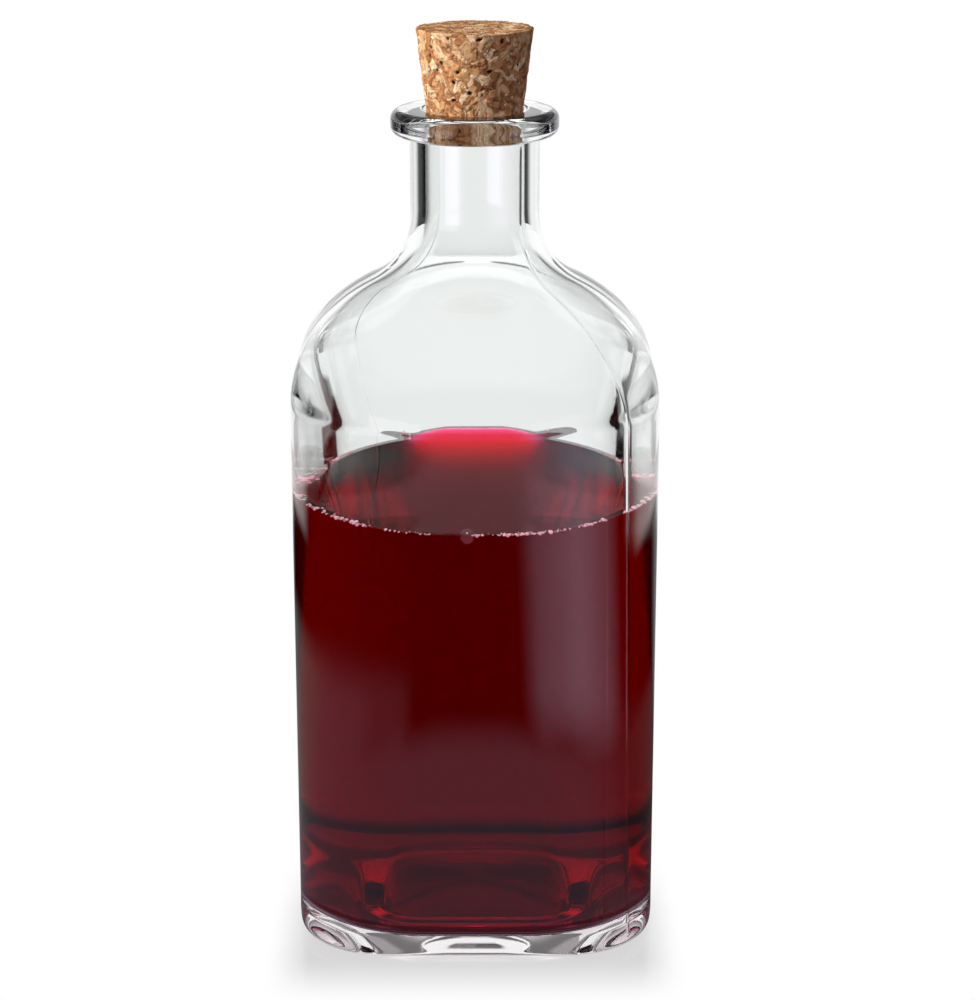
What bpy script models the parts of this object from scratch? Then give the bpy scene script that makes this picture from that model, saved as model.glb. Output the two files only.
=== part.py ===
"""Square glass drink bottle with a round neck, a short tapered cork and a red drink filled to just past half.

Metres, +Z up. The origin is the centre of the bearing ring on which the bottle stands.
"""

import math

import bmesh
import bpy

MM = 0.001

# Overall heights above the surface that the bottle stands on
GLASS_HEIGHT = 166.0 * MM
DRINK_LEVEL = 89.4 * MM
CORK_TOP = 181.6 * MM

# Body: a square with large round corners, a little wider at the heel and a little rounder at the shoulder.
# The cavity's corners are rounder still, so the glass is thickest there.
HEEL_HALF_WIDTH = 36.8 * MM
SHOULDER_HALF_WIDTH = 36.5 * MM
HEEL_CORNER_RADIUS = 19.5 * MM
SHOULDER_CORNER_RADIUS = 25.0 * MM
BODY_TOP = 110.3 * MM
WALL = 2.4 * MM
INNER_HEEL_CORNER = 24.5 * MM
INNER_SHOULDER_CORNER = 28.5 * MM

# Foot: rounded heel, flat bearing ring and a shallow push-up in its middle
HEEL_INSET = 0.4 * MM
HEEL_HEIGHT = 4.5 * MM
FOOT_CORNER_RADIUS = 17.5 * MM
PUSH_UP_HALF_WIDTH = 22.0 * MM
PUSH_UP_CORNER_RADIUS = 9.0 * MM
PUSH_UP_STEP = 0.8 * MM
PUSH_UP_HEIGHT = 3.0 * MM

# Inside of the base
FLOOR_HEIGHT = 3.2 * MM
FLOOR_RISE = 3.0 * MM
INNER_HEEL_RADIUS = 3.0 * MM

# Shoulder: each face curves over as a quarter ellipse and sweeps up into the round neck
SHOULDER_CROWN = 26.9 * MM
NECK_SWEEP_RADIUS = 14.6 * MM
ROUNDING_EXPONENT = 0.5

# Neck and lip
NECK_RADIUS = 12.75 * MM
NECK_WALL = 2.8 * MM
LIP_RADIUS = 16.5 * MM
LIP_HEIGHT = 5.0 * MM
LIP_EDGE_RADIUS = 1.9 * MM
MOUTH_EDGE_RADIUS = 1.2 * MM

# Cork: a plain tapered stopper, pushed a few millimetres into the mouth
CORK_LENGTH = 20.0 * MM
CORK_TOP_RADIUS = 11.55 * MM
CORK_END_RADIUS = 9.1 * MM
CORK_EDGE = 0.5 * MM

FIT_GAP = 0.3 * MM

CORNER_STEPS = 13
CORK_STEPS = 48


def clear_scene():
    for obj in list(bpy.data.objects):
        bpy.data.objects.remove(obj)


def material(name, colour, roughness, metallic=0.0, transmission=0.0):
    made = bpy.data.materials.new(name)
    made.use_nodes = True
    shader = made.node_tree.nodes["Principled BSDF"]
    shader.inputs["Base Color"].default_value = (*colour, 1.0)
    shader.inputs["Roughness"].default_value = roughness
    shader.inputs["Metallic"].default_value = metallic
    shader.inputs["Transmission Weight"].default_value = transmission
    return made


def rounded_square(half, radius, height):
    """Points of a square of this half width whose corners are arcs. At radius = half it is a circle."""
    radius = min(radius, half)
    centre = half - radius
    points = []
    for quarter in range(4):
        start = quarter * math.pi / 2
        side_x = 1 if quarter in (0, 3) else -1
        side_y = 1 if quarter in (0, 1) else -1
        for step in range(CORNER_STEPS + 1):
            angle = start + step / CORNER_STEPS * math.pi / 2
            x = side_x * centre + radius * math.cos(angle)
            y = side_y * centre + radius * math.sin(angle)
            points.append((x, y, height))
    return points


def circle(radius, height, steps):
    turn = 2 * math.pi / steps
    return [(radius * math.cos(i * turn), radius * math.sin(i * turn), height) for i in range(steps)]


def arc(centre, radii, start, end, steps):
    """(half width, height) pairs along an elliptic arc; start and end are degrees from +half width."""
    for step in range(steps + 1):
        angle = math.radians(start + (end - start) * step / steps)
        yield centre[0] + radii[0] * math.cos(angle), centre[1] + radii[1] * math.sin(angle)


def sweep_join(half, crown, neck, sweep):
    """Angle on the shoulder's ellipse where the neck's sweep circle touches it, and its centre's height."""
    low, high = 0.0, math.pi / 2
    for _ in range(60):
        middle = (low + high) / 2
        across, up = math.cos(middle) / half, math.sin(middle) / crown
        length = math.hypot(across, up)
        reach = half * math.cos(middle) + sweep * across / length
        if reach > neck + sweep:
            low = middle
        else:
            high = middle
    return middle, crown * math.sin(middle) + sweep * up / length


def shoulder_sections(half, corner, crown, neck, sweep):
    """(half width, height, corner radius) from the top of the body to the foot of the neck."""
    join, rise = sweep_join(half, crown, neck, sweep)
    join_half = half * math.cos(join)
    join_height = crown * math.sin(join)
    tangent = math.degrees(math.atan2(join_height - rise, join_half - neck - sweep))
    profile = list(arc((0.0, 0.0), (half, crown), 0.0, math.degrees(join), 9))
    profile += list(arc((neck + sweep, rise), (sweep, sweep), tangent, -180.0, 6))[1:]
    squareness = corner / half
    for width, height in profile:
        share = max(0.0, height / rise) ** ROUNDING_EXPONENT
        blend = min(1.0, share * share * (3 - 2 * share))
        yield width, BODY_TOP + height, width * (squareness + (1 - squareness) * blend)


def outer_sections():
    """Outside of the glass, from the rim of the push-up down, out and up to the mouth."""
    for share in (0.35, 0.7, 0.9, 1.0):
        dome = PUSH_UP_STEP + (PUSH_UP_HEIGHT - PUSH_UP_STEP) * math.cos(share * math.pi / 2)
        yield PUSH_UP_HALF_WIDTH * share * 0.96, dome, PUSH_UP_CORNER_RADIUS * share
    yield PUSH_UP_HALF_WIDTH, 0.0, PUSH_UP_CORNER_RADIUS
    foot = HEEL_HALF_WIDTH - HEEL_INSET
    corner_growth = HEEL_CORNER_RADIUS - FOOT_CORNER_RADIUS
    for width, height in arc((foot, HEEL_HEIGHT), (HEEL_INSET, HEEL_HEIGHT), -90.0, 0.0, 6):
        yield width, height, FOOT_CORNER_RADIUS + corner_growth * height / HEEL_HEIGHT
    corner = SHOULDER_CORNER_RADIUS
    yield from shoulder_sections(SHOULDER_HALF_WIDTH, corner, SHOULDER_CROWN, NECK_RADIUS, NECK_SWEEP_RADIUS)
    lip_base = GLASS_HEIGHT - LIP_HEIGHT
    edge = LIP_EDGE_RADIUS
    yield NECK_RADIUS, lip_base, NECK_RADIUS
    for width, height in arc((LIP_RADIUS - edge, lip_base + edge), (edge, edge), -90.0, 0.0, 4):
        yield width, height, width
    for width, height in arc((LIP_RADIUS - edge, GLASS_HEIGHT - edge), (edge, edge), 0.0, 90.0, 4):
        yield width, height, width


def inner_sections():
    """Inside of the glass, from the mouth down to the floor."""
    bore = NECK_RADIUS - NECK_WALL
    edge = MOUTH_EDGE_RADIUS
    for width, height in arc((bore + edge, GLASS_HEIGHT - edge), (edge, edge), 90.0, 180.0, 3):
        yield width, height, width
    half, corner = cavity_at(BODY_TOP, 0.0)
    sweep = NECK_SWEEP_RADIUS + NECK_WALL
    yield from reversed(list(shoulder_sections(half, corner, SHOULDER_CROWN - WALL, bore, sweep)))
    yield from cavity_sections(0.0)


def cavity_at(height, gap):
    """Half width and corner radius of the cavity at a height on its straight walls, drawn in by the gap."""
    low = FLOOR_HEIGHT + INNER_HEEL_RADIUS
    share = (height - low) / (BODY_TOP - low)
    half = HEEL_HALF_WIDTH + (SHOULDER_HALF_WIDTH - HEEL_HALF_WIDTH) * share - WALL
    corner = INNER_HEEL_CORNER + (INNER_SHOULDER_CORNER - INNER_HEEL_CORNER) * share
    return half - gap, corner - gap


def cavity_sections(gap):
    """Lower walls and floor of the cavity, drawn in by the gap, from the heel's top to the floor's middle."""
    half, corner = cavity_at(FLOOR_HEIGHT + INNER_HEEL_RADIUS, gap)
    heel = INNER_HEEL_RADIUS
    floor = FLOOR_HEIGHT + gap
    for width, height in arc((half - heel, floor + heel), (heel, heel), 0.0, -90.0, 4):
        yield width, height, corner - (half - width)
    for share in (0.7, 0.4):
        yield half * share, floor + FLOOR_RISE * (1 - share) ** 1.5, corner * share


def drink_sections():
    """The drink from its level top down, a gap clear of the glass all round."""
    half, corner = cavity_at(DRINK_LEVEL, FIT_GAP)
    yield half, DRINK_LEVEL, corner
    yield from cavity_sections(FIT_GAP)


def cork_sections():
    taper = (CORK_TOP_RADIUS - CORK_END_RADIUS) / CORK_LENGTH
    end = CORK_TOP - CORK_LENGTH
    yield CORK_END_RADIUS - CORK_EDGE, end
    for share in (0.0, 0.25, 0.5, 0.75, 1.0):
        height = end + CORK_EDGE + (CORK_LENGTH - 2 * CORK_EDGE) * share
        yield CORK_END_RADIUS + taper * (height - end), height
    yield CORK_TOP_RADIUS - CORK_EDGE, CORK_TOP


def loft(name, rings, start_point, end_point, finish):
    """One closed body through rings of equal length, closed at each end by a fan to a point on the axis."""
    work = bmesh.new()
    loops = [[work.verts.new(point) for point in ring] for ring in rings]
    for one, other in zip(loops, loops[1:]):
        for i in range(len(one)):
            j = (i + 1) % len(one)
            work.faces.new((one[i], one[j], other[j], other[i]))
    for loop, point in ((loops[0], start_point), (loops[-1], end_point)):
        tip = work.verts.new(point)
        for i in range(len(loop)):
            work.faces.new((loop[i], loop[(i + 1) % len(loop)], tip))
    bmesh.ops.recalc_face_normals(work, faces=work.faces)
    mesh = bpy.data.meshes.new(name)
    work.to_mesh(mesh)
    work.free()
    mesh.shade_smooth()
    mesh.set_sharp_from_angle(angle=math.radians(50))
    mesh.materials.append(finish)
    obj = bpy.data.objects.new(name, mesh)
    bpy.context.scene.collection.objects.link(obj)
    return obj


def build_glass():
    sections = list(outer_sections()) + list(inner_sections())
    rings = [rounded_square(width, corner, height) for width, height, corner in sections]
    clear_glass = material("clear_glass", (0.95, 0.96, 0.95), 0.02, transmission=1.0)
    under = (0.0, 0.0, PUSH_UP_HEIGHT)
    floor = (0.0, 0.0, FLOOR_HEIGHT + FLOOR_RISE)
    return loft("glass_bottle", rings, under, floor, clear_glass)


def build_drink():
    rings = [rounded_square(width, corner, height) for width, height, corner in drink_sections()]
    red_drink = material("red_drink", (0.09, 0.002, 0.006), 0.05)
    floor = (0.0, 0.0, FLOOR_HEIGHT + FIT_GAP + FLOOR_RISE)
    return loft("red_drink", rings, (0.0, 0.0, DRINK_LEVEL), floor, red_drink)


def build_cork():
    rings = [circle(radius, height, CORK_STEPS) for radius, height in cork_sections()]
    pressed_cork = material("pressed_cork", (0.52, 0.28, 0.13), 0.85)
    end = (0.0, 0.0, CORK_TOP - CORK_LENGTH)
    return loft("cork_stopper", rings, end, (0.0, 0.0, CORK_TOP), pressed_cork)


clear_scene()
bottle = bpy.data.objects.new("bottle", None)
bpy.context.scene.collection.objects.link(bottle)
for piece in (build_glass(), build_drink(), build_cork()):
    piece.parent = bottle
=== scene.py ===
import math
import random

import bmesh
import bpy
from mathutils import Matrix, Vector, kdtree, noise


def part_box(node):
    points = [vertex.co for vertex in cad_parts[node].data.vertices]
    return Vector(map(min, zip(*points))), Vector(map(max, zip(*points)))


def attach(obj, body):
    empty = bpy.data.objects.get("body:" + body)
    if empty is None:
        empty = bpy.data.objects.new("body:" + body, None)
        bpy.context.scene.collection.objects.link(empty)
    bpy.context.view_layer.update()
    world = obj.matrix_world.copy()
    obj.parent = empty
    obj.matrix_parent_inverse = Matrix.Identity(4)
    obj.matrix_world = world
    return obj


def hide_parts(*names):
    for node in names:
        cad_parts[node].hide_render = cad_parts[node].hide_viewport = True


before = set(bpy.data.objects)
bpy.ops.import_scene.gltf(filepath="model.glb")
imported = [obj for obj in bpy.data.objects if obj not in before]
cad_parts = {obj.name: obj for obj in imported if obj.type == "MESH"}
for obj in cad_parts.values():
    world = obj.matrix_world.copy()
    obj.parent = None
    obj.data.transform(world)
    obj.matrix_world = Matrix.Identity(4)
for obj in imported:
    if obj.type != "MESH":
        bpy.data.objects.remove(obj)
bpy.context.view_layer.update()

# ---------------------------------------------------------------------------------------------
# Glass bottle. Clear flint glass, blown in a two-part mould, then fire polished. The body is
# square with large round corners; the inside follows it more loosely, so the glass is thickest
# in the corners. A fine mould seam runs up two opposite corners.

MM = 0.001
glass_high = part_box("glass_bottle")[1]
glass_height = glass_high.z
heel_half = glass_high.x
shoulder_half = heel_half - 0.3 * MM
heel_corner = 19.5 * MM
shoulder_corner = 25.0 * MM
body_top = 110.3 * MM
wall = 2.4 * MM
inner_heel_corner = 24.5 * MM
inner_shoulder_corner = 28.5 * MM

heel_inset = 0.4 * MM
heel_height = 4.5 * MM
foot_corner = 17.5 * MM
bearing_start = 22.2 * MM
push_up_edge = 0.8 * MM
push_up_corner = 9.0 * MM
push_up_step = 0.8 * MM
push_up_height = 3.0 * MM
floor_height = 3.2 * MM
floor_rise = 3.0 * MM
inner_heel = 3.0 * MM

crown = 26.9 * MM
neck_sweep = 14.6 * MM
rounding_exponent = 0.75
neck_radius = 12.75 * MM
neck_wall = 3.0 * MM
neck_fillet = 0.5 * MM
lip_radius = 16.5 * MM
lip_height = 5.0 * MM
lip_edge = 1.9 * MM
mouth_edge = 1.2 * MM

seam_height = 0.11 * MM
seam_width = 0.28 * MM
seam_start = 0.4 * heel_height
seam_end = glass_height - lip_height - 1.0 * MM
wave_height = 0.10 * MM
wave_length = 26.0 * MM
upward_stretch = 0.6

# Directions in which each level of the bottle is measured: even steps, and closer ones at the two seams.
ring_steps = 300
seam_angles = (-45.0, 135.0)
seam_offsets = (0.12, 0.25, 0.4, 0.55, 0.75)
ring_angles = [360.0 / ring_steps * step - 180.0 for step in range(ring_steps)]
for seam_angle in seam_angles:
    for offset in seam_offsets:
        ring_angles += [seam_angle - offset, seam_angle + offset]
ring_angles = [math.radians(degree) for degree in sorted(ring_angles)]


def rounded_square(half, radius):
    """Points and outward normals of a square of this half width with round corners, as one loop."""
    radius = min(radius, half)
    centre = half - radius
    loop = []
    for angle in ring_angles:
        x, y = abs(math.cos(angle)), abs(math.sin(angle))
        if min(x, y) * half <= max(x, y) * centre:
            reach = half / max(x, y)
            normal = (1.0, 0.0) if x > y else (0.0, 1.0)
        else:
            across = centre * (x + y)
            reach = across + math.sqrt(across * across - 2 * centre * centre + radius * radius)
            normal = ((reach * x - centre) / radius, (reach * y - centre) / radius)
        side = math.copysign(1, math.cos(angle)), math.copysign(1, math.sin(angle))
        loop.append((side[0] * reach * x, side[1] * reach * y, side[0] * normal[0], side[1] * normal[1]))
    return loop


def arc(centre, radii, start, end, steps):
    """(half width, height) along an elliptic arc; start and end are degrees from +half width."""
    for step in range(steps + 1):
        angle = math.radians(start + (end - start) * step / steps)
        yield centre[0] + radii[0] * math.cos(angle), centre[1] + radii[1] * math.sin(angle)


def straight(start, end, steps):
    """Points between two ends, closer together near the ends so that the shading stays true there."""
    for step in range(1, steps):
        share = 0.5 - 0.5 * math.cos(math.pi * step / steps)
        yield tuple(a + (b - a) * share for a, b in zip(start, end))


def sweep_join(half, rise, neck, sweep):
    """Angle on the shoulder's ellipse where a sweep circle beside the neck touches it, and its height."""
    low, high = 0.0, math.pi / 2
    for _ in range(60):
        middle = (low + high) / 2
        across, up = math.cos(middle) / half, math.sin(middle) / rise
        length = math.hypot(across, up)
        if half * math.cos(middle) + sweep * across / length > neck + sweep:
            low = middle
        else:
            high = middle
    return middle, rise * math.sin(middle) + sweep * up / length


def shoulder_sections(half, corner, rise, neck, sweep):
    """(half width, height, corner radius) from the top of the body to the foot of the neck."""
    join, centre_rise = sweep_join(half, rise, neck, sweep)
    side = half * math.cos(join) - neck - sweep
    tangent = math.degrees(math.atan2(rise * math.sin(join) - centre_rise, side))
    profile = list(arc((0.0, 0.0), (half, rise), 0.0, math.degrees(join), 30))
    profile += list(arc((neck + sweep, centre_rise), (sweep, sweep), tangent, -180.0, 18))[1:]
    squareness = corner / half
    for width, height in profile:
        share = max(0.0, height / centre_rise) ** rounding_exponent
        blend = min(1.0, share * share * (3 - 2 * share))
        yield width, body_top + height, width * (squareness + (1 - squareness) * blend)


def outer_sections():
    """Outside of the glass, from the middle of the push-up down, out and up to the mouth."""
    dome_half = bearing_start - push_up_edge
    for step in range(1, 11):
        share = step / 10
        height = push_up_step + (push_up_height - push_up_step) * math.cos(share * math.pi / 2)
        yield dome_half * share, height, push_up_corner * share
    for width, height in arc((bearing_start, push_up_step), (push_up_edge, push_up_step), 180.0, 270.0, 5):
        yield width, height, push_up_corner
    foot = heel_half - heel_inset
    for width, corner in straight((bearing_start, push_up_corner), (foot, foot_corner), 14):
        yield width, 0.0, corner
    for width, height in arc((foot, heel_height), (heel_inset, heel_height), -90.0, 0.0, 16):
        yield width, height, foot_corner + (heel_corner - foot_corner) * height / heel_height
    yield from straight((heel_half, heel_height, heel_corner), (shoulder_half, body_top, shoulder_corner), 28)
    yield from shoulder_sections(shoulder_half, shoulder_corner, crown, neck_radius, neck_sweep)
    neck_foot = body_top + sweep_join(shoulder_half, crown, neck_radius, neck_sweep)[1]
    lip_base = glass_height - lip_height
    neck_end = lip_base - neck_fillet
    yield from straight((neck_radius, neck_foot, neck_radius), (neck_radius, neck_end, neck_radius), 10)
    for width, height in arc((neck_radius + neck_fillet, neck_end), (neck_fillet,) * 2, 180.0, 90.0, 5):
        yield width, height, width
    lip_middle = lip_radius - lip_edge
    for width, height in arc((lip_middle, lip_base + lip_edge), (lip_edge,) * 2, -90.0, 0.0, 12):
        yield width, height, width
    for width, height in arc((lip_middle, glass_height - lip_edge), (lip_edge,) * 2, 0.0, 90.0, 12):
        yield width, height, width


def cavity_at(height, gap=0.0):
    """Half width and corner radius of the cavity at a height on its straight walls. The gap draws it in."""
    low = floor_height + inner_heel
    share = (height - low) / (body_top - low)
    half = heel_half + (shoulder_half - heel_half) * share - wall
    corner = inner_heel_corner + (inner_shoulder_corner - inner_heel_corner) * share
    return half - gap, corner - gap


def cavity_sections(top, gap=0.0):
    """Straight walls, heel and floor of the cavity, from just under a height down."""
    low = floor_height + inner_heel
    for (height,) in straight((top,), (low,), 28):
        half, corner = cavity_at(height, gap)
        yield half, height, corner
    half, corner = cavity_at(low, gap)
    edge = half - inner_heel
    floor = floor_height + gap
    for width, height in arc((edge, floor + inner_heel), (inner_heel,) * 2, 0.0, -90.0, 18):
        yield width, height, corner - (half - width)
    for step in range(1, 16):
        share = 1 - step / 16
        rise = floor_rise * (0.5 + 0.5 * math.cos(share * math.pi))
        yield edge * share, floor + rise, (corner - inner_heel) * share


def inner_sections():
    """Inside of the glass, from the mouth down to the middle of the floor."""
    bore = neck_radius - neck_wall
    bore_top = glass_height - mouth_edge
    for width, height in arc((bore + mouth_edge, bore_top), (mouth_edge,) * 2, 90.0, 180.0, 8):
        yield width, height, width
    half, corner = cavity_at(body_top)
    shoulder = list(shoulder_sections(half, corner, crown - wall, bore, neck_sweep + neck_wall))
    yield from straight((bore, bore_top, bore), shoulder[-1], 12)
    yield from reversed(shoulder)
    yield from cavity_sections(body_top)


def mesh_of_rings(name, rings, start_point, end_point):
    """A smooth closed mesh through rings of equal length, with a fan to a point at each end."""
    count = len(rings[0])
    last = (len(rings) - 1) * count
    points = [point for ring in rings for point in ring] + [start_point, end_point]
    start_tip, end_tip = len(points) - 2, len(points) - 1
    faces = []
    for one in range(0, last, count):
        other = one + count
        for i in range(count):
            j = (i + 1) % count
            faces.append((one + i, one + j, other + j, other + i))
    faces += [(start_tip, (i + 1) % count, i) for i in range(count)]
    faces += [(end_tip, last + i, last + (i + 1) % count) for i in range(count)]
    mesh = bpy.data.meshes.new(name)
    mesh.from_pydata(points, [], faces)
    mesh.validate()
    mesh.shade_smooth()
    made = bpy.data.objects.new(name, mesh)
    bpy.context.scene.collection.objects.link(made)
    return made


def seam_at(x, y, height):
    """Height of the mould seam on the outside, beside the two corners where the mould halves meet."""
    if x * y >= 0 or not seam_start <= height <= seam_end:
        return 0.0
    across = abs(x + y) / math.sqrt(2)
    return seam_height * math.exp(-((across / seam_width) ** 2))


def wave_at(x, y, height):
    """How far the inner wall stands off its mean line: hand-thick glass is never quite even inside."""
    return wave_height * noise.noise(Vector((x, y, height * upward_stretch)) / wave_length)


def shifted_ring(section, shift_at):
    """The points of one section, moved along their normals by what shift_at gives there."""
    half, height, corner = section
    ring = []
    for x, y, nx, ny in rounded_square(half, corner):
        shift = shift_at(x, y, height)
        ring.append((x + nx * shift, y + ny * shift, height))
    return ring


def glass_rings():
    """The outside with its seams, then the inside with its waves."""
    rings = [shifted_ring(section, seam_at) for section in outer_sections()]
    rings += [shifted_ring(section, wave_at) for section in inner_sections()]
    return rings


def linear(colour):
    """Linear RGB from an sRGB hex value."""
    channels = [int(colour[i : i + 2], 16) / 255 for i in (1, 3, 5)]
    return [c / 12.92 if c <= 0.04045 else ((c + 0.055) / 1.055) ** 2.4 for c in channels]


def add(tree, kind, links=(), **settings):
    """Adds a node. Links are (input, output socket) pairs; a setting named for an input sets that input."""
    node = tree.nodes.new(kind)
    for name, value in settings.items():
        if hasattr(node, name):
            setattr(node, name, value)
        else:
            node.inputs[name.replace("_", " ")].default_value = value
    for name, socket in links:
        tree.links.new(socket, node.inputs[name])
    return node


def new_material(name):
    """An empty material, its node tree and its output node."""
    made = bpy.data.materials.new(name)
    made.use_nodes = True
    made.node_tree.nodes.clear()
    return made, made.node_tree, made.node_tree.nodes.new("ShaderNodeOutputMaterial")


# Flint glass: colourless, with a faint grey-green in the thick base. Fire polished, so it has no
# surface grain; what shows are its reflections and the bending of what stands behind it.
flint_glass, tree, output = new_material("flint_glass")
shader = add(
    tree,
    "ShaderNodeBsdfPrincipled",
    Base_Color=(*linear("#fcfefd"), 1.0),
    Roughness=0.0,
    IOR=1.52,
    Transmission_Weight=1.0,
)
tree.links.new(shader.outputs["BSDF"], output.inputs["Surface"])

dome_middle = (0.0, 0.0, push_up_height)
floor_middle = (0.0, 0.0, floor_height + floor_rise)
bottle = mesh_of_rings("bottle_glass", glass_rings(), dome_middle, floor_middle)
bottle.data.materials.append(flint_glass)
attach(bottle, "root")
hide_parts("glass_bottle")

# ---------------------------------------------------------------------------------------------
# Red drink, filled to just past half. A dark clear red that is pink where it is thin. It touches
# the glass all round, and its top stands a little higher towards the two front corners.

level = 90.2 * MM
side_rise = 2.6 * MM
front_slope = 0.6
into_wall = 0.03 * MM
surface_rings = 24
rim_step = 0.01 * MM


def surface_at(x, y):
    """Height of the drink's top: level at the back, and rising to both sides towards the front."""
    frontward = max(0.0, min(1.0, 0.5 - front_slope * y / heel_half))
    return level + side_rise * (x / heel_half) ** 2 * frontward * frontward * (3 - 2 * frontward)


def drink_rings():
    """From the middle of the floor up the walls, then in over the top. It follows the waves of the glass."""
    half, corner = cavity_at(level, -into_wall)
    rings = []
    for step in range(1, surface_rings + 1):
        share = step / surface_rings
        ring = []
        for x, y, nx, ny in rounded_square(half * share, corner * share):
            wave = wave_at(x, y, level) * share
            ring.append((x + nx * wave, y + ny * wave, surface_at(x, y)))
        rings.append(ring)
    rings.append([(x, y, z - rim_step) for x, y, z in rings[-1]])
    rings += [shifted_ring(section, wave_at) for section in cavity_sections(level, -into_wall)]
    rings.reverse()
    return rings


# Red drink: clear, so it takes its colour from its depth. A few millimetres are pink, the whole
# width of the bottle is nearly black, and the surface mirrors the room at a low angle.
clear_red, tree, output = new_material("red_drink_clear")
shader = add(
    tree,
    "ShaderNodeBsdfPrincipled",
    Base_Color=(1.0, 1.0, 1.0, 1.0),
    Roughness=0.0,
    IOR=1.333,
    Transmission_Weight=1.0,
)
body_colour = add(tree, "ShaderNodeVolumeAbsorption", Color=(0.942, 0.02, 0.40, 1.0), Density=600.0)
tree.links.new(shader.outputs["BSDF"], output.inputs["Surface"])
tree.links.new(body_colour.outputs["Volume"], output.inputs["Volume"])

drink_floor = (0.0, 0.0, floor_height - into_wall + floor_rise)
drink = mesh_of_rings("drink", drink_rings(), drink_floor, (0.0, 0.0, level))
drink.data.materials.append(clear_red)
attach(drink, "root")
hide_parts("red_drink")

# ---------------------------------------------------------------------------------------------
# Bubbles of the drink. What is left of the froth from filling: small air bubbles with a pinkish
# skin that cling to the glass in loose groups, and a large one at the front with a clear skin.

bubble_tries = 1500
smallest_bubble = 0.11 * MM
largest_bubble = 0.36 * MM
large_bubble = 1.35 * MM
large_bubble_left = 1.4 * MM
glass_margin = 0.12 * MM
group_size = 3.5 * MM
stray = 0.9 * MM
back_thinning = 0.3


def bubble_places():
    """(centre, radius) of each small bubble: most are tiny, and most touch the glass."""
    chance = random.Random(5)
    loop = rounded_square(*cavity_at(level))
    for _ in range(bubble_tries):
        x, y, nx, ny = chance.choice(loop)
        crowd = noise.noise(Vector((x, y, 0.0)) / group_size)
        radius = smallest_bubble + (largest_bubble - smallest_bubble) * chance.random() ** 4
        inset = glass_margin + radius + stray * chance.random() ** 4
        slide = chance.uniform(-0.3, 0.3) * MM
        if crowd < chance.uniform(-0.35, 0.45) + (back_thinning if y > 0.0 else 0.0):
            continue
        x, y = x - nx * inset - ny * slide, y - ny * inset + nx * slide
        yield Vector((x, y, surface_at(x, y) + radius * chance.uniform(-0.9, 0.4))), radius


# Froth skin: thin and wet. It gathers light from the glass and the drink round it, which a faint glow
# of its own stands for, so that it shows as bright pinkish dots.
froth_skin, tree, output = new_material("red_drink_froth")
shader = add(
    tree,
    "ShaderNodeBsdfPrincipled",
    Base_Color=(*linear("#fbdfe4"), 1.0),
    Roughness=0.15,
    IOR=1.33,
    Transmission_Weight=0.5,
    Emission_Color=(*linear("#f6c3cd"), 1.0),
    Emission_Strength=0.25,
)
tree.links.new(shader.outputs["BSDF"], output.inputs["Surface"])

# Film of the large bubble: clear and thin, so only its rim shows; its faint sheen is a painted glow.
bubble_film, tree, output = new_material("red_drink_film")
shader = add(
    tree,
    "ShaderNodeBsdfPrincipled",
    Base_Color=(1.0, 1.0, 1.0, 1.0),
    Roughness=0.0,
    IOR=1.12,
    Transmission_Weight=1.0,
    # Painted glow: stands for the faint sheen of the film.
    Emission_Color=(*linear("#d9aeb4"), 1.0),
    Emission_Strength=0.05,
)
tree.links.new(shader.outputs["BSDF"], output.inputs["Surface"])

ball = bmesh.new()
bmesh.ops.create_icosphere(ball, subdivisions=3, radius=1.0)
ball_points = [vertex.co.copy() for vertex in ball.verts]
ball_faces = [[vertex.index for vertex in face.verts] for face in ball.faces]
ball.free()


def make_bubbles(name, places, skin):
    """Round bubbles at these places, joined into one piece."""
    points, faces = [], []
    for centre, radius in places:
        start = len(points)
        points += [centre + point * radius for point in ball_points]
        faces += [[start + index for index in face] for face in ball_faces]
    mesh = bpy.data.meshes.new(name)
    mesh.from_pydata(points, [], faces)
    mesh.shade_smooth()
    mesh.materials.append(skin)
    made = bpy.data.objects.new(name, mesh)
    bpy.context.scene.collection.objects.link(made)
    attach(made, "root")


make_bubbles("bubbles", bubble_places(), froth_skin)
large_bubble_front = cavity_at(level)[0] - large_bubble - glass_margin
large_bubble_centre = Vector((-large_bubble_left, -large_bubble_front, level - 0.5 * large_bubble))
make_bubbles("large_bubble", [(large_bubble_centre, large_bubble)], bubble_film)

# ---------------------------------------------------------------------------------------------
# Cork stopper. Pressed from cork granules and turned to a taper, pushed in by hand. The granules
# are flakes one to a few millimetres long; some have torn out and left pits.

cork_low, cork_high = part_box("cork_stopper")
cork_top = cork_high.z
cork_end = cork_low.z
cork_length = cork_top - cork_end
cork_top_radius = 11.45 * MM
cork_end_radius = 9.05 * MM
cork_edge = 0.35 * MM
cork_around = 420
cork_rows = 130
face_rings = 46
edge_steps = 3

flake_count = 4200
flake_widths = (0.6, 0.8, 1.0, 1.4, 1.9)
flake_stretch = 0.2
flakes_compared = 18
flake_lean = 0.8
# Crevices between the flakes: sunk a little, and darkened in patches with painted shade.
crevice_width = 0.13 * MM
crevice_depth = 0.15 * MM
crevice_patch = 1.1 * MM
crevice_shade_cover = 0.9
grain_width = 0.11 * MM
grain_length = 1.1 * MM
grain_depth = 0.07 * MM
grain_contrast = 0.75
cloud_size = 0.9 * MM
cloud_contrast = 0.30
pit_count = 620
pit_stretch = 0.55
pit_edge = 0.3 * MM
pit_depth = 0.35 * MM

flake_tones = ("#dcbc96", "#d0a97f", "#c3986c", "#b6865a", "#a9754c", "#9a6642")
flake_tones += ("#c7a079", "#bb875a", "#a96d42")
flake_colours = [Vector(linear(tone)) for tone in flake_tones]
# Painted shade: dark brown for the crevices between flakes, near-black for the pits.
crevice_shade_colour = Vector(linear("#5c3820"))
pit_shade_colour = Vector(linear("#241209"))


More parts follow.
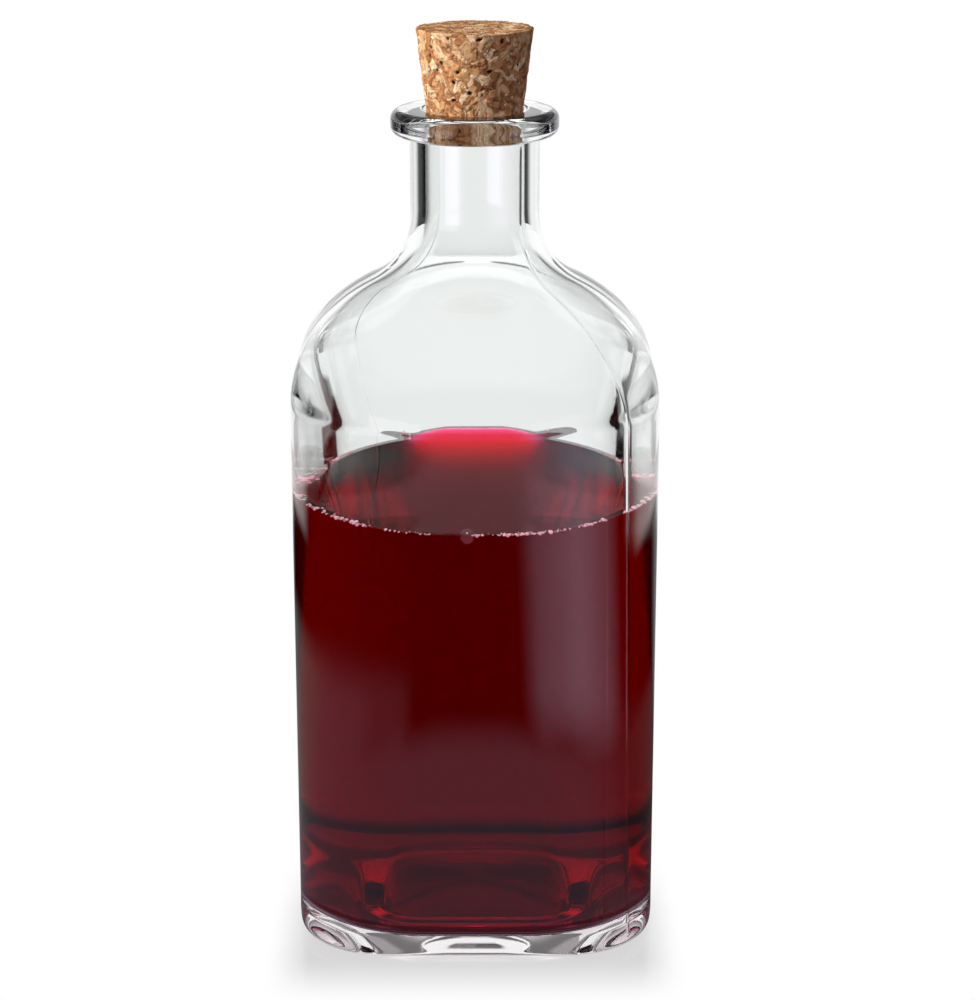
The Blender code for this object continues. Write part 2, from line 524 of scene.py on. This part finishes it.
def place_in_cork(chance, crowding):
    """A place in the cork, the way out from there and any direction. A low crowding keeps near the side."""
    radius = cork_top_radius * chance.random() ** crowding
    angle = chance.uniform(0.0, 2 * math.pi)
    height = chance.uniform(cork_end, cork_top)
    place = Vector((radius * math.cos(angle), radius * math.sin(angle), height))
    outward = Vector((math.cos(angle), math.sin(angle), 0.0))
    direction = Vector((chance.gauss(0, 1), chance.gauss(0, 1), chance.gauss(0, 1)))
    return place, outward, direction


def search_tree(pieces):
    """A tree that finds the nearest of these flakes or pits; the middle of each is its first value."""
    found = kdtree.KDTree(len(pieces))
    for index, piece in enumerate(pieces):
        found.insert(piece[0], index)
    found.balance()
    return found


chance = random.Random(11)
flakes = []
for _ in range(flake_count):
    place, outward, along = place_in_cork(chance, 0.4)
    along = (along - outward * flake_lean * along.dot(outward)).normalized()
    width = chance.choice(flake_widths)
    flakes.append((place, along, width, chance.choice(flake_colours), chance.uniform(-0.16, 0.0) * MM))
flake_tree = search_tree(flakes)

pits = []
for _ in range(pit_count):
    place, outward, along = place_in_cork(chance, 0.3)
    pits.append((place, along.normalized(), chance.uniform(0.14, 0.48) * MM))
pit_tree = search_tree(pits)


def offset_from(piece, point):
    """How far a point lies along a flake or pit from its middle, and how far beside it."""
    offset = point - piece[0]
    lengthwise = offset.dot(piece[1])
    return lengthwise, (offset - piece[1] * lengthwise).length


def flake_at(point):
    """Colour of the pressed cork at a point, with painted shade in its crevices and pits, and how far the
    surface stands off there.
    """
    found = []
    for _, index, _ in flake_tree.find_n(point, flakes_compared):
        lengthwise, across = offset_from(flakes[index], point)
        reach = math.hypot(lengthwise * flake_stretch, across) / flakes[index][2]
        found.append((reach, index, lengthwise, across))
    found.sort()
    nearest, index, lengthwise, across = found[0]
    tone, lift = flakes[index][3:]
    border = min(1.0, (found[1][0] - nearest) / crevice_width)
    patchiness = noise.noise(point / crevice_patch + Vector((7.0, 0.0, 0.0)))
    # The crevices along the flake borders get painted shade, in patches.
    crevice_shade = (1.0 - border) * max(0.0, min(1.0, 0.5 + 2.2 * patchiness))
    grain = noise.noise(Vector((across / grain_width, index * 3.7, lengthwise / grain_length)))
    cloud = noise.noise(point / cloud_size)
    colour = tone * (1.0 + grain_contrast * grain + cloud_contrast * cloud)
    colour = crevice_shade_colour.lerp(colour, 1.0 - crevice_shade_cover * crevice_shade)
    height = lift - crevice_depth * crevice_shade + grain_depth * grain
    # Pits are sunk, and painted near-black as the shade inside them.
    for _, index, _ in pit_tree.find_n(point, 2):
        lengthwise, across = offset_from(pits[index], point)
        reach = math.hypot(lengthwise * pit_stretch, across) / pits[index][2]
        depth = max(0.0, 1.0 - reach + 0.25 * noise.noise(point / pit_edge))
        colour = colour.lerp(pit_shade_colour, min(1.0, depth * 2.5))
        height -= pit_depth * min(1.0, depth * 1.6)
    return colour, height


def cork_profile():
    """(radius, height, slope) from the middle of the lower end to that of the top; a slope of 90 faces up."""
    for step in range(1, face_rings):
        yield (cork_end_radius - cork_edge) * step / face_rings, cork_end, -90.0
    for step in range(edge_steps + 1):
        slope = -90.0 + 90.0 * step / edge_steps
        radius = cork_end_radius - cork_edge * (1 - math.cos(math.radians(slope)))
        yield radius, cork_end + cork_edge * (1 + math.sin(math.radians(slope))), slope
    for step in range(1, cork_rows):
        height = cork_end + cork_edge + (cork_length - 2 * cork_edge) * step / cork_rows
        taper = (cork_top_radius - cork_end_radius) * (height - cork_end) / cork_length
        yield cork_end_radius + taper, height, 0.0
    for step in range(edge_steps + 1):
        slope = 90.0 * step / edge_steps
        radius = cork_top_radius - cork_edge * (1 - math.cos(math.radians(slope)))
        yield radius, cork_top - cork_edge * (1 - math.sin(math.radians(slope))), slope
    for step in range(1, face_rings):
        yield (cork_top_radius - cork_edge) * (1 - step / face_rings), cork_top, 90.0


def cork_surface():
    """The rings of the cork, and the colour at each of their points in turn."""
    rings, shades = [], []
    for radius, height, slope in cork_profile():
        ring = []
        outward, up = math.cos(math.radians(slope)), math.sin(math.radians(slope))
        for i in range(cork_around):
            angle = 2 * math.pi * i / cork_around
            side = Vector((math.cos(angle), math.sin(angle), 0.0))
            point = side * radius + Vector((0.0, 0.0, height))
            colour, stand_off = flake_at(point)
            shades.append(colour)
            ring.append(point + (side * outward + Vector((0.0, 0.0, up))) * min(0.0, stand_off))
        rings.append(ring)
    return rings, shades


# Pressed cork: dull, dry and warm brown, with pale and rusty flakes, painted shade in the crevices between
# them and pits painted near-black as shade. A fine dust of lighter and darker specks lies over it all.
pressed_cork, tree, output = new_material("pressed_cork")
granules = add(tree, "ShaderNodeAttribute", attribute_name="granules")
place = add(tree, "ShaderNodeTexCoord")
dust = add(tree, "ShaderNodeTexNoise", [("Vector", place.outputs["Object"])], Scale=5200.0, Detail=3.0)
fleck = add(tree, "ShaderNodeMapRange", [("Value", dust.outputs["Fac"])])
for name, value in (("From Min", 0.3), ("From Max", 0.7), ("To Min", 0.82), ("To Max", 1.14)):
    fleck.inputs[name].default_value = value
tint_links = [(0, granules.outputs["Color"]), (1, fleck.outputs["Result"])]
tinted = add(tree, "ShaderNodeVectorMath", tint_links, operation="MULTIPLY")
bump = add(tree, "ShaderNodeBump", [("Height", dust.outputs["Fac"])], Strength=0.35, Distance=0.08 * MM)
cork_links = [("Base Color", tinted.outputs["Vector"]), ("Normal", bump.outputs["Normal"])]
shader = add(tree, "ShaderNodeBsdfPrincipled", cork_links, Roughness=0.88, Specular_IOR_Level=0.25)
tree.links.new(shader.outputs["BSDF"], output.inputs["Surface"])

rings, shades = cork_surface()
cork = mesh_of_rings("cork", rings, (0.0, 0.0, cork_end), (0.0, 0.0, cork_top))
# These colours hold the painted shade of the crevices and pits.
cork_colours_with_shade = cork.data.attributes.new("granules", "FLOAT_COLOR", "POINT")
for index, colour in enumerate(shades + [flake_colours[0]] * 2):
    cork_colours_with_shade.data[index].color = (*colour, 1.0)
cork.data.materials.append(pressed_cork)
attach(cork, "root")
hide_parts("cork_stopper")

# ---------------------------------------------------------------------------------------------
# Camera, table, room and lamp. The camera itself sees a plain white table. What glass and drink bend
# and mirror is light painted on the table and in the room. It stands still, and is laid out for a
# viewer in front of the bottle: right is +X, and away is +Y.

camera_distance = 437.8 * MM
camera_height = 235.8 * MM
camera_right = 2.48 * MM
camera_pitch = 0.331
sensor_width = 36.0
focal_share = 2.2438

camera_data = bpy.data.cameras.new("camera")
camera_data.sensor_width = sensor_width
camera_data.lens = sensor_width * focal_share
camera_data.clip_start = 0.01
camera_data.clip_end = 20.0
camera = bpy.data.objects.new("camera", camera_data)
camera.location = (camera_right, -camera_distance, camera_height)
camera.rotation_euler = (math.pi / 2 - camera_pitch, 0.0, 0.0)
bpy.context.scene.collection.objects.link(camera)
bpy.context.scene.camera = camera

# The table lies a hair below the foot, so that the two faces don't fight.
table_reach = 2.5
table_drop = 0.05 * MM
corners = [(-table_reach, -table_reach, 0), (table_reach, -table_reach, 0)]
corners += [(table_reach, table_reach, 0), (-table_reach, table_reach, 0)]
table_mesh = bpy.data.meshes.new("table")
table_mesh.from_pydata(corners, [], [(0, 1, 2, 3)])
table = bpy.data.objects.new("table", table_mesh)
table.location.z = -table_drop
bpy.context.scene.collection.objects.link(table)


def step_up(tree, value, low, high, bottom=0.0, top=1.0):
    """A smooth step of a value from bottom at low to top at high."""
    node = add(tree, "ShaderNodeMapRange", [("Value", value)], interpolation_type="SMOOTHSTEP")
    for name, setting in (("From Min", low), ("From Max", high), ("To Min", bottom), ("To Max", top)):
        node.inputs[name].default_value = setting
    return node.outputs["Result"]


def combine(tree, operation, *values):
    """Values put together by maths nodes, from the first to the last; any of them may be a plain number."""
    result = values[0]
    for value in values[1:]:
        node = add(tree, "ShaderNodeMath", operation=operation)
        for index, part in enumerate((result, value)):
            if isinstance(part, float):
                node.inputs[index].default_value = part
            else:
                tree.links.new(part, node.inputs[index])
        result = node.outputs["Value"]
    return result


def product(tree, *values):
    return combine(tree, "MULTIPLY", *values)


def brightest(tree, *values):
    return combine(tree, "MAXIMUM", *values)


def all_but(tree, value):
    """What a share leaves over."""
    return combine(tree, "SUBTRACT", 1.0, value)


def crossfade(tree, share, one, other):
    """The one value where the share is 0, and the other where it is 1."""
    return combine(tree, "ADD", product(tree, one, all_but(tree, share)), product(tree, other, share))


def size_of(tree, value):
    """The value without its sign."""
    return brightest(tree, value, product(tree, value, -1.0))


def through_glass(tree, light_path, strength):
    """This strength, and more of it for what lies behind glass, which the lamp doesn't reach."""
    behind_glass = 2.2 * strength
    return step_up(tree, light_path.outputs["Transmission Depth"], 0.0, 2.0, strength, behind_glass)


# White table. Its painted light is measured from the middle of the bottle. The bearing is the angle
# from the front round to the right.
pool_light = 0.18
patch_light = 0.85
window_light = 1.6
under_light = 6.0
back_light = 7.0
edge_light = 0.25
table_on_matt = 0.30
foot_shine = 0.34

white_table, tree, output = new_material("white_table")
light_path = add(tree, "ShaderNodeLightPath")
place = add(tree, "ShaderNodeTexCoord")
split = add(tree, "ShaderNodeSeparateXYZ", [("Vector", place.outputs["Object"])])
right, away = split.outputs["X"], split.outputs["Y"]
beside = size_of(tree, right)
squares = combine(tree, "ADD", product(tree, right, right), product(tree, away, away))
distance = combine(tree, "POWER", squares, 0.5)
bearing = combine(tree, "ARCTAN2", right, product(tree, away, -1.0))
backward = combine(tree, "DIVIDE", combine(tree, "ADD", away, product(tree, right, 0.12)), distance)

# Behind: a lit strip close to the bottle, a fan that widens away from it, and two lobes at its sides.
strip = product(tree, step_up(tree, away, 37 * MM, 46 * MM), step_up(tree, beside, 50 * MM, 34 * MM))
fan = product(tree, step_up(tree, backward, 0.70, 0.92), step_up(tree, away, 50 * MM, 100 * MM))
dim_sides = product(tree, step_up(tree, beside, 36 * MM, 55 * MM), step_up(tree, away, 250 * MM, 200 * MM))
fan = product(tree, fan, all_but(tree, product(tree, dim_sides, 0.7)))
lobe_near = step_up(tree, distance, 265 * MM, 290 * MM)
lobe_far = step_up(tree, distance, 420 * MM, 370 * MM)
lobes = product(tree, lobe_near, lobe_far, step_up(tree, backward, 0.15, 0.40))
behind = brightest(tree, strip, fan, lobes)

# In front: a faint pool round the foot that reaches further to the left, a bright patch off to the
# right, and a window's light far off to the left.
right_end = step_up(tree, bearing, 1.35, 0.95, 0.3, 1.0)
pool = product(tree, step_up(tree, distance, 158 * MM, 128 * MM), right_end)
left_pool = product(tree, step_up(tree, distance, 205 * MM, 165 * MM), step_up(tree, bearing, -0.45, -0.85))
pool = product(tree, brightest(tree, pool, left_pool), pool_light)
right_end = step_up(tree, bearing, 1.38, 0.98, 0.0, patch_light)
patch = product(tree, step_up(tree, bearing, 0.14, 0.86), right_end)
patch = product(tree, patch, step_up(tree, distance, 120 * MM, 180 * MM))
window_sides = product(tree, step_up(tree, bearing, -1.14, -1.11), step_up(tree, bearing, -0.50, -0.53))
window = product(tree, window_sides, step_up(tree, distance, 470 * MM, 500 * MM, 0.0, window_light))
in_front = brightest(tree, pool, patch, window)

# Under the foot: what the sides of the drink's top show.
under = product(tree, step_up(tree, beside, 36 * MM, 12 * MM), step_up(tree, away, 36 * MM, 26 * MM))
under = product(tree, under, step_up(tree, away, -10 * MM, 20 * MM, 0.0, under_light))
painted = brightest(tree, behind, in_front, under)

# Steep light has come down through the top of the drink. It finds a bright stretch behind the bottle,
# which is the pink band along the back of the drink.
facing = add(tree, "ShaderNodeLayerWeight", Blend=0.5)
steep = step_up(tree, facing.outputs["Facing"], 0.45, 0.25)
near_back = step_up(tree, away, 36 * MM, 46 * MM, 0.0, edge_light)
from_above = product(tree, near_back, step_up(tree, away, 56 * MM, 70 * MM, 1.0, back_light))
painted = crossfade(tree, steep, painted, from_above)

# Matt surfaces get an even light from the table, and what lies in front of the bottle is a little mauve.
after_matt = combine(tree, "MINIMUM", light_path.outputs["Diffuse Depth"], 1.0)
painted = crossfade(tree, after_matt, painted, through_glass(tree, light_path, table_on_matt))
mauve_links = [("Factor", step_up(tree, away, -20 * MM, 20 * MM))]
mauve = add(tree, "ShaderNodeMix", mauve_links, data_type="RGBA")
mauve.inputs["A"].default_value = (1.0, 0.82, 1.1, 1.0)
mauve.inputs["B"].default_value = (1.0, 1.0, 1.0, 1.0)
glow = add(tree, "ShaderNodeEmission", [("Color", mauve.outputs["Result"]), ("Strength", painted)])

# The camera sees plain white, with a soft reflection of the bottle close to the front of the foot.
plain = add(tree, "ShaderNodeEmission", Strength=1.0)
gloss = add(tree, "ShaderNodeBsdfGlossy", Roughness=0.12, Color=(1.0, 0.93, 0.94, 1.0))
near_foot = step_up(tree, away, -56 * MM, -36 * MM, 0.0, foot_shine)
near_foot = product(tree, near_foot, step_up(tree, away, 10 * MM, -20 * MM))
near_foot = product(tree, near_foot, step_up(tree, beside, 43 * MM, 33 * MM))
seen_links = [(0, near_foot), (1, plain.outputs["Emission"]), (2, gloss.outputs["BSDF"])]
seen = add(tree, "ShaderNodeMixShader", seen_links)
table_links = [(0, light_path.outputs["Is Camera Ray"]), (1, glow.outputs["Emission"])]
either = add(tree, "ShaderNodeMixShader", table_links + [(2, seen.outputs["Shader"])])
tree.links.new(either.outputs["Shader"], output.inputs["Surface"])
table.data.materials.append(white_table)

# Pale room. Its light is painted by direction. The climb is the sine of the angle above the horizon.
room_low = 0.03
room_above_horizon = 0.38
room_climbing = 0.5
ceiling_light = 0.6
strip_depth = 0.7
strip_depth_off_drink = 0.35

world = bpy.data.worlds.new("studio")
bpy.context.scene.world = world
world.use_nodes = True
tree = world.node_tree
tree.nodes.clear()
output = tree.nodes.new("ShaderNodeOutputWorld")
light_path = add(tree, "ShaderNodeLightPath")
place = add(tree, "ShaderNodeTexCoord")
split = add(tree, "ShaderNodeSeparateXYZ", [("Vector", place.outputs["Generated"])])
right, away, climb = split.outputs["X"], split.outputs["Y"], split.outputs["Z"]

# Light that was mirrored once and went through both walls has come off the top of the drink.
once_mirrored = combine(tree, "COMPARE", light_path.outputs["Glossy Depth"], 1.0)
through_both_walls = combine(tree, "COMPARE", light_path.outputs["Transmission Depth"], 4.0)
near_middle = step_up(tree, size_of(tree, right), 0.32, 0.22)
off_the_drink = product(tree, once_mirrored, through_both_walls, near_middle, step_up(tree, away, 0.6, 0.8))

# The back of the room is bright along the horizon and dimmer above, with a darker strip low down.
dark_strip = product(tree, step_up(tree, climb, 0.24, 0.275), step_up(tree, climb, 0.306, 0.288))
lighter_by = product(tree, off_the_drink, strip_depth - strip_depth_off_drink)
dark_strip = product(tree, dark_strip, combine(tree, "SUBTRACT", strip_depth, lighter_by))
back_wall = step_up(tree, away, 0.0, 0.6, room_low, 1.0)
horizon = step_up(tree, climb, 0.27, 0.19, room_above_horizon, 1.0)
upper_wall = step_up(tree, climb, 0.47, 0.41, room_climbing, 1.0)
lit = product(tree, back_wall, horizon, upper_wall, all_but(tree, dark_strip))
lit = combine(tree, "ADD", lit, step_up(tree, climb, 0.50, 0.70, 0.0, ceiling_light))

# Matt surfaces get a soft light from the upper left instead.
leftward = combine(tree, "ADD", product(tree, right, -0.62), product(tree, away, -0.45))
upper_left = combine(tree, "ADD", leftward, product(tree, climb, 0.64))
soft_light = step_up(tree, upper_left, -0.25, 1.0, 0.06, 0.85)
soft_light = product(tree, soft_light, through_glass(tree, light_path, 1.0))
after_matt = combine(tree, "MINIMUM", light_path.outputs["Diffuse Depth"], 1.0)
strength = crossfade(tree, after_matt, lit, soft_light)

# Painted reflection: a reddish stretch of the wall that only the top of the drink mirrors.
painted_red_reflection = product(tree, step_up(tree, climb, 0.26, 0.29), step_up(tree, climb, 0.36, 0.34), off_the_drink)
red_reflection_tint = add(tree, "ShaderNodeMix", [("Factor", painted_red_reflection)], data_type="RGBA")
red_reflection_tint.inputs["A"].default_value = (1.0, 1.0, 1.0, 1.0)
red_reflection_tint.inputs["B"].default_value = (2.0, 0.74, 0.84, 1.0)
room = add(tree, "ShaderNodeBackground", [("Color", red_reflection_tint.outputs["Result"]), ("Strength", strength)])
white = add(tree, "ShaderNodeBackground", Strength=1.0)
room_links = [(0, light_path.outputs["Is Camera Ray"]), (1, room.outputs["Background"])]
either = add(tree, "ShaderNodeMixShader", room_links + [(2, white.outputs["Background"])])
tree.links.new(either.outputs["Shader"], output.inputs["Surface"])

# One lamp with a soft edge, at the upper left. The glass and the drink don't mirror it.
lamp_place = Vector((-0.66, -0.26, 0.44))
lamp_target = Vector((0.0, 0.0, 0.17))
lamp_data = bpy.data.lights.new("lamp", "AREA")
lamp_data.shape = "RECTANGLE"
lamp_data.size = 0.16
lamp_data.size_y = 0.3
lamp_data.energy = 8.5
lamp = bpy.data.objects.new("lamp", lamp_data)
lamp.location = lamp_place
lamp.rotation_euler = (lamp_target - lamp_place).to_track_quat("-Z", "Y").to_euler()
lamp.visible_glossy = False
lamp.visible_transmission = False
bpy.context.scene.collection.objects.link(lamp)

scene = bpy.context.scene
scene.view_settings.view_transform = "Standard"
scene.cycles.max_bounces = 24
scene.cycles.transmission_bounces = 24
scene.cycles.glossy_bounces = 12
scene.cycles.caustics_reflective = False
